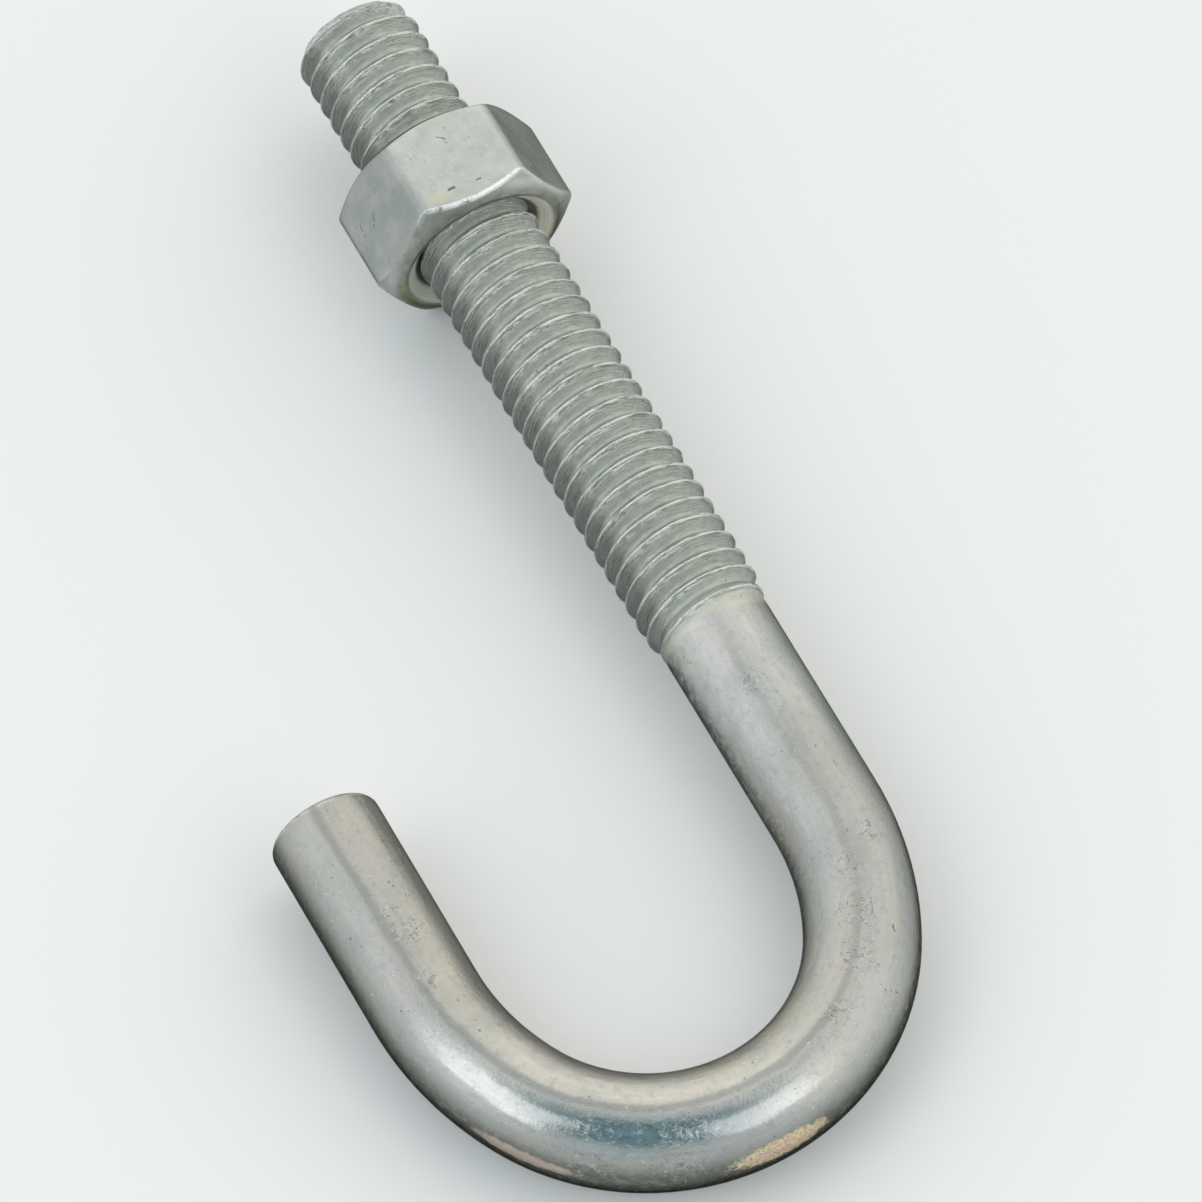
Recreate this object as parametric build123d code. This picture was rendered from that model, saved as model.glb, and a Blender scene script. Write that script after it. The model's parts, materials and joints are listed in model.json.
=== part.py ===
from build123d import *
import os
from math import asin, atan2, degrees, hypot, radians, tan

# J bolt with its hex nut, 3/8-16 right-hand thread. Millimetres, +Z up.
# It lies on its side on the floor, z = 0: the crown of the hook and one flat of the nut touch it.
# The origin is under the middle of its box. The shank points along +Y, and the return leg is on the -X side.

# Thread, as rings of its true section, one to a pitch, that fade into the rod over the run-out
THREAD_MAJOR_DIAMETER = 9.35
THREAD_PITCH = 25.4 / 16
THREAD_ANGLE = 60.0
CREST_WIDTH = 0.27
THREAD_LENGTH = 57.3
RUNOUT_PITCHES = 1.75
THREAD_END_CHAMFER = 0.85

# Bent rod: straight shank, three tangent arcs, straight return leg
ROD_DIAMETER = 8.45
PLAIN_SHANK_LENGTH = 16.0
EASE_RADIUS = 22.2
EASE_ANGLE = 28.0
CROWN_RADIUS = 15.25
RETURN_LEG_LENGTH = 16.0
TIP_ROUND = 0.9

# Hex nut
NUT_ACROSS_FLATS = 14.1
NUT_THICKNESS = 8.33
NUT_CORNER_ROUND = 0.3
NUT_FACE_DIAMETER = 13.2
NUT_CHAMFER_ANGLE = 30.0
NUT_COUNTERSINK_DIAMETER = 10.9
NUT_COUNTERSINK_ANGLE = 45.0
NUT_TO_THREAD_END = 12.4

# Room left between the thread's crests and the bore of the nut
THREAD_CLEARANCE = 0.05

# Worked out from the sizes above
ROD_RADIUS = ROD_DIAMETER / 2
THREAD_RADIUS = THREAD_MAJOR_DIAMETER / 2
RUNOUT_LENGTH = RUNOUT_PITCHES * THREAD_PITCH
FLANK_WIDTH = (THREAD_PITCH - CREST_WIDTH) / 2
ROOT_RADIUS = THREAD_RADIUS - FLANK_WIDTH / tan(radians(THREAD_ANGLE / 2))
CROWN_ANGLE = 180.0 - 2 * EASE_ANGLE
THREAD_END = PLAIN_SHANK_LENGTH + THREAD_LENGTH
NUT_HOOK_FACE = THREAD_END - NUT_TO_THREAD_END - NUT_THICKNESS
BORE_RADIUS = THREAD_RADIUS + THREAD_CLEARANCE


def chamfer_depth(radius):
    """How far the nut's corner chamfer reaches along its axis at this radius."""
    return max(radius - NUT_FACE_DIAMETER / 2, 0) * tan(radians(NUT_CHAMFER_ANGLE))


def turned(*outline):
    """The solid turned about the shank's axis from (radius, distance along Y) points, closed along it."""
    ends = ((0, outline[0][1]), *outline, (0, outline[-1][1]))
    return revolve(make_face(Polyline(*ends, close=True)), Axis.Y)


def make_hook():
    """The plain rod from the run-out round the bend to the tip, in the plane z = 0."""
    with BuildLine() as route:
        shank = Line((0, PLAIN_SHANK_LENGTH), (0, 0))
        ease_in = JernArc(shank @ 1, (0, -1), EASE_RADIUS, -EASE_ANGLE)
        crown = JernArc(ease_in @ 1, ease_in % 1, CROWN_RADIUS, -CROWN_ANGLE)
        ease_out = JernArc(crown @ 1, crown % 1, EASE_RADIUS, -EASE_ANGLE)
        tip = ease_out @ 1 + RETURN_LEG_LENGTH * (ease_out % 1)
        Line(ease_out @ 1, tip)
    section = Plane(origin=(0, PLAIN_SHANK_LENGTH, 0), z_dir=(0, -1, 0)) * Circle(ROD_RADIUS)
    rod = sweep(section, path=route.line)
    tip_edge = rod.edges().filter_by(GeomType.CIRCLE).sort_by_distance(tip)[0]
    return fillet(tip_edge, TIP_ROUND)


def faded(radius, y):
    """A point of the thread's section at y, brought towards the rod's surface within the run-out."""
    share = min((y - PLAIN_SHANK_LENGTH) / RUNOUT_LENGTH, 1)
    return (ROD_RADIUS + (radius - ROD_RADIUS) * share, y)


def make_thread():
    """The threaded end: a ring to each pitch, counted back from the chamfer."""
    chamfer_start = THREAD_END - THREAD_END_CHAMFER
    outline = [(ROD_RADIUS, PLAIN_SHANK_LENGTH)]
    for rings_left in range(int((chamfer_start - PLAIN_SHANK_LENGTH) / THREAD_PITCH), 0, -1):
        ring_start = chamfer_start - rings_left * THREAD_PITCH
        outline += [
            faded(THREAD_RADIUS, ring_start),
            faded(THREAD_RADIUS, ring_start + CREST_WIDTH),
            faded(ROOT_RADIUS, ring_start + CREST_WIDTH + FLANK_WIDTH),
        ]
    outline += [(THREAD_RADIUS, chamfer_start), (THREAD_RADIUS - THREAD_END_CHAMFER, THREAD_END)]
    return turned(*outline)


def make_j_bolt():
    """One rod: threaded at one end, bent into a hook at the other."""
    return make_hook() + make_thread()


def make_nut_blank():
    """The hexagon along +Z from z = 0, chamfered at its corners on both faces."""
    hexagon = RegularPolygon(NUT_ACROSS_FLATS / 2, 6, major_radius=False)
    prism = extrude(fillet(hexagon.vertices(), NUT_CORNER_ROUND), NUT_THICKNESS)
    rim = NUT_ACROSS_FLATS
    cone = turned(
        (NUT_FACE_DIAMETER / 2, 0),
        (rim, chamfer_depth(rim)),
        (rim, NUT_THICKNESS - chamfer_depth(rim)),
        (NUT_FACE_DIAMETER / 2, NUT_THICKNESS),
    )
    return prism & Rot(X=90) * cone


def make_hex_nut():
    """The nut on the shank, with flats facing up and down, bored clear of the crests."""
    mouth_radius = NUT_COUNTERSINK_DIAMETER / 2
    sink_depth = (mouth_radius - BORE_RADIUS) / tan(radians(NUT_COUNTERSINK_ANGLE))
    bore = turned(
        (mouth_radius, 0),
        (BORE_RADIUS, sink_depth),
        (BORE_RADIUS, NUT_THICKNESS - sink_depth),
        (mouth_radius, NUT_THICKNESS),
    )
    bored = make_nut_blank() - Rot(X=90) * bore
    return Plane(origin=(0, NUT_HOOK_FACE, 0), x_dir=(1, 0, 0), z_dir=(0, 1, 0)) * bored


def rest_tilt(bolt):
    """The tilt about X, in degrees, at which the crown and the nut's lower flat both touch the floor."""
    crown_end = bolt.bounding_box().min.Y + ROD_RADIUS
    flat_end = NUT_HOOK_FACE + chamfer_depth(NUT_ACROSS_FLATS / 2)
    reach = flat_end - crown_end
    half_flats = NUT_ACROSS_FLATS / 2
    return degrees(atan2(half_flats, reach) - asin(ROD_RADIUS / hypot(reach, half_flats)))


def lay_down(bolt, nut):
    """Both pieces tilted to rest on the floor, with the origin under the middle of their box."""
    tilt = Rot(X=rest_tilt(bolt))
    pieces = [tilt * bolt, tilt * nut]
    box = Compound(pieces).bounding_box()
    to_origin = Pos(-box.center().X, -box.center().Y, -box.min.Z)
    return [to_origin * piece for piece in pieces]


j_bolt, hex_nut = lay_down(make_j_bolt(), make_hex_nut())

os.makedirs("parts", exist_ok=True)
export_step(j_bolt, "parts/j_bolt.step")
export_step(hex_nut, "parts/hex_nut.step")
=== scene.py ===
"""A zinc-plated J bolt with its hex nut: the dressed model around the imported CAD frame."""
import json
from math import atan, atan2, cos, hypot, pi, radians, sin, sqrt, tan
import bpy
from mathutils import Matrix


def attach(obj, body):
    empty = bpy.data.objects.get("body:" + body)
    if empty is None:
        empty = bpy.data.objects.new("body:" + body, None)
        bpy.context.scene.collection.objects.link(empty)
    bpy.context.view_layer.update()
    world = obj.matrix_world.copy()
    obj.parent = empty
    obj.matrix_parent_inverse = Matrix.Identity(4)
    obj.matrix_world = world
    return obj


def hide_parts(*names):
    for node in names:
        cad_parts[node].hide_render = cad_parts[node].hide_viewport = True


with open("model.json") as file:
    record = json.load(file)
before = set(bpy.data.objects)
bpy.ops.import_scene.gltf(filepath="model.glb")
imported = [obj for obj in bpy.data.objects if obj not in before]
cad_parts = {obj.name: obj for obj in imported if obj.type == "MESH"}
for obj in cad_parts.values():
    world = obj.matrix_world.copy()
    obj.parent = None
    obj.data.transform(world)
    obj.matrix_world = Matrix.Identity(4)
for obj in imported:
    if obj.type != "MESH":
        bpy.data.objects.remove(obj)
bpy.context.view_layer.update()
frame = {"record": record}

from types import SimpleNamespace

import bmesh
import bpy
from mathutils import Matrix, Vector, noise

MM = 0.001

# Bent rod, in millimetres: straight shank, three tangent arcs, straight return leg
ROD_RADIUS = 4.225
PLAIN_SHANK = 16.0
EASE_RADIUS = 22.2
EASE_ANGLE = radians(28.0)
CROWN_RADIUS = 15.25
CROWN_ANGLE = pi - 2 * EASE_ANGLE
RETURN_LEG = 16.0
TIP_ROUND = 0.9

# Thread: right-hand, 16 to the inch
PITCH = 25.4 / 16
THREAD_LENGTH = 57.3
THREAD_END = PLAIN_SHANK + THREAD_LENGTH
CREST_RADIUS = 4.675
ROOT_RADIUS = 3.705
CREST_HALF_FLAT = 0.085
FLANK_SLOPE = tan(radians(30.0))
RUNOUT = 1.75 * PITCH
END_CHAMFER = 0.85
CREST_AT_TOP = 1.16
TURN_STEPS = 84
# How deep a crest is worn and how far it strays along the rod, at most
CREST_WEAR = 0.09
CREST_DRIFT = 0.05

# Rings of the visual rod along its straights, eases and crown
STRAIGHT_RINGS = 20
EASE_RINGS = 15
CROWN_RINGS = 48

# How close counts as on a plane, on an edge, and on a ring or a bore, in millimetres
ON_PLANE = 0.001
ON_EDGE = 0.002
ON_RING = 0.01
# How far past the end of an arc still counts as on it, in radians
ARC_SLACK = 1e-6
# How close to a cutting plane counts as on it
CUT_REACH = 1e-5
# How close two vertices are when they are merged: round a cut, along a seam, and on a finished piece
RING_MERGE = 0.1
COARSE_SEAM = 0.0005
FINE_SEAM = 0.00002
# The sharpest edge that is shaded smooth, in degrees
SHARPEST_SMOOTHED = 35.0

# Hex nut
ACROSS_FLATS = 14.1
NUT_THICKNESS = 8.33
NUT_FACE_RADIUS = 6.25
NEAR_CHAMFER_SLOPE = tan(radians(30.0))
FAR_CHAMFER_SLOPE = tan(radians(33.0))
NUT_CORNER_ROUND = 1.1
NUT_EDGE_ROUND = 0.28
SINK_MOUTH_RADIUS = 5.95
SINK_SLOPE = tan(radians(38.0))
NUT_BORE_RADIUS = 3.98
NUT_TO_THREAD_END = 12.4
NUT_FACE = THREAD_END - NUT_TO_THREAD_END - NUT_THICKNESS
THREAD_PLAY = 0.07
NUT_COLUMNS = 192
BORE_ROWS = 90

# Lengths along the rod's centre line, from the run-out to the tip
EASE_IN_START = PLAIN_SHANK
CROWN_START = EASE_IN_START + EASE_RADIUS * EASE_ANGLE
EASE_OUT_START = CROWN_START + CROWN_RADIUS * CROWN_ANGLE
LEG_START = EASE_OUT_START + EASE_RADIUS * EASE_ANGLE
ROD_END = LEG_START + RETURN_LEG

# The middle of the hook and of its return leg, across from the shank
CROWN_ACROSS = -EASE_RADIUS + (EASE_RADIUS - CROWN_RADIUS) * cos(EASE_ANGLE)
LEG_ACROSS = 2 * CROWN_ACROSS


def mount_named(name):
    return next(mount for mount in frame["record"]["mounts"] if mount["name"] == name)


def shank_layout():
    """From the drawing of the bolt, with its shank on +Y and the hook's start at the origin, to its place."""
    mount = mount_named("threaded_end")
    along = Vector(mount["axis"]).normalized()
    across = Vector((1, 0, 0))
    up = across.cross(along)
    turn = Matrix((across, along, up)).transposed().to_4x4()
    from_end = Matrix.Scale(MM, 4) @ Matrix.Translation((0, -THREAD_END, 0))
    return Matrix.Translation(mount["pos_m"]) @ turn @ from_end


# ---- modelling helpers ----

def start_clean():
    bpy.ops.object.select_all(action="DESELECT")


def edit(piece):
    start_clean()
    piece.select_set(True)
    bpy.context.view_layer.objects.active = piece
    bpy.ops.object.mode_set(mode="EDIT")
    bpy.ops.mesh.select_mode(type="VERT")


def leave_edit():
    bpy.ops.object.mode_set(mode="OBJECT")


def pick(piece, wanted):
    """Selects only the vertices whose place is wanted, and the edges and faces between them."""
    bpy.ops.mesh.select_all(action="DESELECT")
    mesh = bmesh.from_edit_mesh(piece.data)
    for vertex in mesh.verts:
        vertex.select_set(wanted(vertex.co))
    mesh.select_flush(True)
    bmesh.update_edit_mesh(piece.data)


def reshape(piece, place):
    """Moves each vertex to place(vertex)."""
    for vertex in piece.data.vertices:
        vertex.co = place(vertex.co)


def push(offset):
    bpy.ops.mesh.extrude_region_move(TRANSFORM_OT_translate={"value": offset})


def drawn_line(name, points):
    """An edge chain through the points, extruded from one vertex."""
    start_clean()
    bpy.ops.mesh.primitive_plane_add(size=1)
    piece = bpy.context.object
    piece.name = piece.data.name = name
    edit(piece)
    bpy.ops.mesh.select_all(action="SELECT")
    bpy.ops.mesh.merge(type="CENTER")
    bpy.ops.transform.translate(value=points[0])
    for before, after in zip(points, points[1:]):
        push(Vector(after) - Vector(before))
    leave_edit()
    return piece


def apply_modifier(piece, kind, **settings):
    modifier = piece.modifiers.new(kind.title(), kind)
    for setting, value in settings.items():
        setattr(modifier, setting, value)
    start_clean()
    piece.select_set(True)
    bpy.context.view_layer.objects.active = piece
    bpy.ops.object.modifier_apply(modifier=modifier.name)


def merge_seams(piece, reach=COARSE_SEAM):
    edit(piece)
    bpy.ops.mesh.select_all(action="SELECT")
    bpy.ops.mesh.remove_doubles(threshold=reach)
    bpy.ops.mesh.normals_make_consistent(inside=False)
    leave_edit()


def smooth_step(low, high, value):
    t = min(max((value - low) / (high - low), 0.0), 1.0)
    return t * t * (3 - 2 * t)


def at_radius(place, radius):
    """The same angle about the shank's axis, at another radius."""
    scale = radius / hypot(place.x, place.z)
    return Vector((place.x * scale, place.y, place.z * scale))


# ---- the bolt ----

def thread_radius(along):
    """The thread's radius at a distance along from the middle of a crest."""
    from_crest = abs((along + PITCH / 2) % PITCH - PITCH / 2)
    straight = CREST_RADIUS - (from_crest - CREST_HALF_FLAT) / FLANK_SLOPE
    return min(max(straight, ROOT_RADIUS), CREST_RADIUS)


def thread_profile():
    """One pitch of the thread from crest to crest, as (distance along, radius), its corners rounded."""
    foot = CREST_HALF_FLAT + (CREST_RADIUS - ROOT_RADIUS) * FLANK_SLOPE
    crest = [(0.0, 0.0), (0.05, 0.004), (0.085, 0.02), (0.11, 0.052)]
    flank_rows = (0.135, 0.165, foot - 0.155, foot - 0.12)
    flank = [(along, (along - CREST_HALF_FLAT) / FLANK_SLOPE) for along in flank_rows]
    root = [(foot - 0.05, 0.865), (foot + 0.04, 0.945), (PITCH / 2, 0.97)]
    half = [(along, CREST_RADIUS - drop) for along, drop in crest + flank + root]
    return half + [(PITCH - along, radius) for along, radius in reversed(half[:-1])]


def cut_thread():
    """The thread from below the run-out to past its end, one pitch screwed round the axis of the shank."""
    spare_turns = 4
    spare_below = 1.6 * PITCH
    turns = int(THREAD_LENGTH / PITCH) + spare_turns
    first = PLAIN_SHANK - spare_below
    first += (CREST_AT_TOP - first) % PITCH
    points = [(0, first - PITCH + along, radius) for along, radius in thread_profile()]
    piece = drawn_line("threaded_rod", points)
    apply_modifier(
        piece, "SCREW", axis="Y", angle=2 * pi, screw_offset=PITCH, iterations=turns,
        steps=TURN_STEPS, render_steps=TURN_STEPS, use_smooth_shade=True,
    )
    merge_seams(piece)
    return piece


def run_out(place):
    """The thread fades into the rod over the run-out, and the end is chamfered."""
    radius = hypot(place.x, place.z)
    crest = smooth_step(CREST_RADIUS - 0.25, CREST_RADIUS, radius)
    radius -= crest * CREST_WEAR * max(noise.noise(place * 0.9) - 0.12, 0.0)
    fade = smooth_step(PLAIN_SHANK + 0.15, PLAIN_SHANK + RUNOUT, place.y)
    radius = ROD_RADIUS + (radius - ROD_RADIUS) * fade
    into_chamfer = place.y - (THREAD_END - END_CHAMFER)
    if into_chamfer > 0:
        hammered = 0.1 * noise.noise(place * 0.8)
        radius = min(radius, CREST_RADIUS - into_chamfer * (1 + hammered))
    shifted = at_radius(place, radius)
    if PLAIN_SHANK + 1 < place.y < THREAD_END - 1.5:
        shifted.y += crest * CREST_DRIFT * noise.noise(place * 0.7 + Vector((9, 0, 4)))
    return shifted


def trim_thread(piece):
    """Square ends: open at the run-out, closed at the thread's end."""
    edit(piece)
    bpy.ops.mesh.select_all(action="SELECT")
    square = {"plane_no": (0, 1, 0), "threshold": CUT_REACH}
    bpy.ops.mesh.bisect(plane_co=(0, THREAD_END, 0), use_fill=True, clear_outer=True, **square)
    bpy.ops.mesh.select_all(action="SELECT")
    bpy.ops.mesh.bisect(plane_co=(0, PLAIN_SHANK, 0), clear_inner=True, **square)
    pick(piece, lambda place: place.y < PLAIN_SHANK + ON_PLANE)
    bpy.ops.mesh.remove_doubles(threshold=RING_MERGE)
    leave_edit()
    reshape(piece, onto_rod)


def onto_rod(place):
    """Brings the open ring at the run-out exactly onto the rod."""
    return at_radius(place, ROD_RADIUS) if place.y < PLAIN_SHANK + ON_RING else place.copy()


def bend_hook(piece):
    """The shank's open ring drawn down, spun round the three arcs and drawn up the return leg."""
    edit(piece)
    pick(piece, lambda place: place.y < PLAIN_SHANK + ON_PLANE)
    for ring in range(STRAIGHT_RINGS):
        push((0, -PLAIN_SHANK / STRAIGHT_RINGS, 0))
    heading = 0.0
    centre = Vector((-EASE_RADIUS, 0, 0))
    ease = (EASE_RADIUS, EASE_ANGLE, EASE_RINGS)
    arcs = (ease, (CROWN_RADIUS, CROWN_ANGLE, CROWN_RINGS), ease)
    for number, (radius, angle, rings) in enumerate(arcs):
        bpy.ops.mesh.spin(steps=rings, angle=angle, center=centre, axis=(0, 0, 1))
        heading += angle
        outward = Vector((cos(heading), -sin(heading), 0))
        if number + 1 < len(arcs):
            centre = centre + outward * (radius - arcs[number + 1][0])
    for ring in range(STRAIGHT_RINGS):
        push((0, (RETURN_LEG - TIP_ROUND) / STRAIGHT_RINGS, 0))
    round_tip()
    leave_edit()


def round_tip():
    """The sawn end: its edge rounded ring by ring, then closed."""
    edge_rings = 6
    narrow, rise = 1.0, 0.0
    for ring in range(1, edge_rings + 1):
        turn = pi / 2 * ring / edge_rings
        rim = (ROD_RADIUS - TIP_ROUND * (1 - cos(turn))) / ROD_RADIUS
        height = TIP_ROUND * sin(turn)
        push((0, height - rise, 0))
        bpy.ops.transform.resize(value=(rim / narrow, 1, rim / narrow), center_override=(LEG_ACROSS, 0, 0))
        narrow, rise = rim, height
    for narrower in (0.75, 0.5, 0.3):
        push((0, 0, 0))
        bpy.ops.transform.resize(value=(narrower, 1, narrower), center_override=(LEG_ACROSS, 0, 0))
    bpy.ops.mesh.edge_face_add()
    bpy.ops.mesh.poke()


# Where things are along and round the rod, as if it had never been bent

def unbent(place):
    """(outward, along, up) of a place on the rod. Along grows from the run-out towards the tip."""
    if place.y >= 0 and place.x > -EASE_RADIUS / 2:
        return Vector((place.x, PLAIN_SHANK - place.y, place.z))
    first_centre = Vector((-EASE_RADIUS, 0))
    crown_centre = first_centre + Vector((cos(EASE_ANGLE), -sin(EASE_ANGLE))) * (EASE_RADIUS - CROWN_RADIUS)
    last_centre = Vector((2 * crown_centre.x - first_centre.x, 0))
    leg_x = last_centre.x - EASE_RADIUS
    if place.y >= 0 and place.x < last_centre.x:
        return Vector((leg_x - place.x, LEG_START + place.y, place.z))
    spot = Vector((place.x, place.y))
    for centre, radius, start, turned, angle in (
        (first_centre, EASE_RADIUS, EASE_IN_START, 0.0, EASE_ANGLE),
        (last_centre, EASE_RADIUS, EASE_OUT_START, pi - EASE_ANGLE, EASE_ANGLE),
        (crown_centre, CROWN_RADIUS, CROWN_START, EASE_ANGLE, CROWN_ANGLE),
    ):
        ray = spot - centre
        swept = atan2(-ray.y, ray.x) - turned
        if -ARC_SLACK <= swept <= angle + ARC_SLACK and abs(ray.length - radius) < 2 * ROD_RADIUS:
            return Vector((ray.length - radius, start + swept * radius, place.z))
    ray = spot - crown_centre
    swept = atan2(-ray.y, ray.x) - EASE_ANGLE
    return Vector((ray.length - CROWN_RADIUS, CROWN_START + swept * CROWN_RADIUS, place.z))


def note_unbent(piece):
    """Keeps each vertex's unbent place as an attribute, in millimetres, for finishes that follow the rod."""
    places = piece.data.attributes.new("unbent", "FLOAT_VECTOR", "POINT")
    for vertex, entry in zip(piece.data.vertices, places.data):
        entry.vector = unbent(vertex.co)


def make_bolt():
    piece = cut_thread()
    reshape(piece, run_out)
    trim_thread(piece)
    bend_hook(piece)
    merge_seams(piece, FINE_SEAM)
    note_unbent(piece)
    return piece


# ---- the nut ----

def hexagon_radius(angle):
    """From the nut's axis to its side at an angle from the middle of a flat, with rounded corners."""
    off_flat = abs((angle + pi / 6) % (pi / 3) - pi / 6)
    half = ACROSS_FLATS / 2
    tangent = atan((half - NUT_CORNER_ROUND) * tan(pi / 6) / half)
    if off_flat <= tangent:
        return half / cos(off_flat)
    off_corner = pi / 6 - off_flat
    corner = (half - NUT_CORNER_ROUND) / cos(pi / 6)
    return corner * cos(off_corner) + sqrt(NUT_CORNER_ROUND ** 2 - (corner * sin(off_corner)) ** 2)


def chamfer_depths(radius):
    """How far the chamfers of the hook-side face and of the far face reach down the sides at a radius."""
    return tuple((radius - NUT_FACE_RADIUS) * slope for slope in (NEAR_CHAMFER_SLOPE, FAR_CHAMFER_SLOPE))


def nut_blank():
    """The nut's wall turned all the way round, as wide as its corners."""
    rim = ACROSS_FLATS / 2 / cos(pi / 6)
    near, far = chamfer_depths(rim)
    wall = [(NUT_BORE_RADIUS, NUT_THICKNESS * row / BORE_ROWS) for row in range(BORE_ROWS + 1)]
    face_width, cone_width = NUT_FACE_RADIUS - SINK_MOUTH_RADIUS, rim - NUT_FACE_RADIUS
    face = [(SINK_MOUTH_RADIUS + face_width * t, 0.0) for t in (0.0, 0.35, 0.7, 1.0)]
    near_cone, far_cone = (
        [(NUT_FACE_RADIUS + cone_width * t, depth * t) for t in (0.33, 0.66, 1.0)] for depth in (near, far)
    )
    side_rows = 12
    side = [(rim, near + (NUT_THICKNESS - near - far) * row / side_rows) for row in range(1, side_rows)]
    far_end = [(radius, NUT_THICKNESS - along) for radius, along in reversed(face + far_cone)]
    outside = face + near_cone + side + far_end
    ring = wall + list(reversed(outside))
    points = [(0, along, radius) for radius, along in ring]
    points.append(points[0])
    return drawn_line("nut", points)


def press_nut(place):
    """The turned blank brought to its hexagon, with the columns drawn together at the corners."""
    radius = hypot(place.x, place.z)
    angle = atan2(place.x, place.z)
    sector = round(angle / (pi / 3))
    part = (angle - sector * pi / 3) / (pi / 6)
    angle = sector * pi / 3 + pi / 6 * sin(part * pi / 2)
    along = place.y
    if radius < NUT_BORE_RADIUS + ON_RING:
        from_crest = NUT_FACE + along - CREST_AT_TOP - PITCH * angle / (2 * pi)
        radius = max(thread_radius(from_crest) + THREAD_PLAY, NUT_BORE_RADIUS)
        to_face = min(along, NUT_THICKNESS - along)
        radius = max(radius, SINK_MOUTH_RADIUS - to_face / SINK_SLOPE)
    elif radius > NUT_FACE_RADIUS:
        rim = ACROSS_FLATS / 2 / cos(pi / 6)
        wide = hexagon_radius(angle)
        near, far = chamfer_depths(wide)
        if radius < rim - ON_PLANE:
            part = (radius - NUT_FACE_RADIUS) / (rim - NUT_FACE_RADIUS)
            radius = NUT_FACE_RADIUS + (wide - NUT_FACE_RADIUS) * part
            along = near * part if along < NUT_THICKNESS / 2 else NUT_THICKNESS - far * part
        else:
            old_near, old_far = chamfer_depths(rim)
            part = (along - old_near) / (NUT_THICKNESS - old_near - old_far)
            radius = wide
            along = near + (NUT_THICKNESS - near - far) * part
    return Vector((radius * sin(angle), NUT_FACE + along, radius * cos(angle)))


def on_chamfer_edge(place):
    """Whether a place is on the edge of a chamfer, at the nut's sides or at its face."""
    radius = hypot(place.x, place.z)
    along = place.y - NUT_FACE
    from_far_face = NUT_THICKNESS - along
    wide = hexagon_radius(atan2(place.x, place.z))
    near, far = chamfer_depths(wide)
    at_side = abs(radius - wide) < ON_EDGE and min(abs(along - near), abs(from_far_face - far)) < ON_EDGE
    return at_side or (abs(radius - NUT_FACE_RADIUS) < ON_EDGE and min(along, from_far_face) < ON_EDGE)


def ease_edges(piece):
    """Rounds both edges of each chamfer."""
    edit(piece)
    bpy.ops.mesh.select_mode(type="EDGE")
    pick(piece, on_chamfer_edge)
    bpy.ops.mesh.bevel(offset=NUT_EDGE_ROUND, segments=4, affect="EDGES", clamp_overlap=True)
    leave_edit()


def note_drawn(piece):
    """Keeps each vertex's place on the shank's drawing, in millimetres, for the nut's finish."""
    places = piece.data.attributes.new("drawn", "FLOAT_VECTOR", "POINT")
    for vertex, entry in zip(piece.data.vertices, places.data):
        entry.vector = vertex.co - Vector((0, NUT_FACE, 0))


def make_nut():
    piece = nut_blank()
    edit(piece)
    bpy.ops.mesh.select_all(action="SELECT")
    bpy.ops.mesh.spin(steps=NUT_COLUMNS, angle=2 * pi, center=(0, 0, 0), axis=(0, 1, 0))
    leave_edit()
    merge_seams(piece)
    reshape(piece, press_nut)
    ease_edges(piece)
    merge_seams(piece, FINE_SEAM)
    note_drawn(piece)
    return piece


def lay_in_place(piece):
    piece.data.transform(shank_layout())
    piece.data.update()


def smooth(piece):
    """Shades the piece smooth, with an edge wherever two faces meet at more than a shallow angle."""
    start_clean()
    piece.select_set(True)
    bpy.context.view_layer.objects.active = piece
    bpy.ops.object.shade_smooth_by_angle(angle=radians(SHARPEST_SMOOTHED))


bolt = make_bolt()
nut = make_nut()
for piece in (bolt, nut):
    lay_in_place(piece)
    smooth(piece)


# ---- finishes ----

# How the zinc tints what it shows at a glancing angle
EDGE_TINT = (0.08, 0.08, 0.07)


class Wire:
    """One value of a finish, with arithmetic that adds Math nodes."""

    def __init__(self, sheet, socket):
        self.sheet, self.socket = sheet, socket

    def __add__(self, other):
        return self.sheet.maths("ADD", self, other)

    def __sub__(self, other):
        return self.sheet.maths("SUBTRACT", self, other)

    def __rsub__(self, other):
        return self.sheet.maths("SUBTRACT", other, self)

    def __mul__(self, other):
        return self.sheet.maths("MULTIPLY", self, other)

    def __truediv__(self, other):
        return self.sheet.maths("DIVIDE", self, other)

    __radd__, __rmul__ = __add__, __mul__

    def size(self):
        return self.sheet.maths("ABSOLUTE", self)

    def most(self, other):
        return self.sheet.maths("MAXIMUM", self, other)

    def least(self, other):
        return self.sheet.maths("MINIMUM", self, other)

    def rise(self, low, high):
        """0 below low, 1 above high, and a smooth slope between them. It falls where high is the lower."""
        ends = (low, high, 0.0, 1.0) if low < high else (high, low, 1.0, 0.0)
        values = dict(zip(("Value", "From Min", "From Max", "To Min", "To Max"), (self, *ends)))
        return self.sheet.node("MapRange", {"interpolation_type": "SMOOTHSTEP"}, values)


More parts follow.
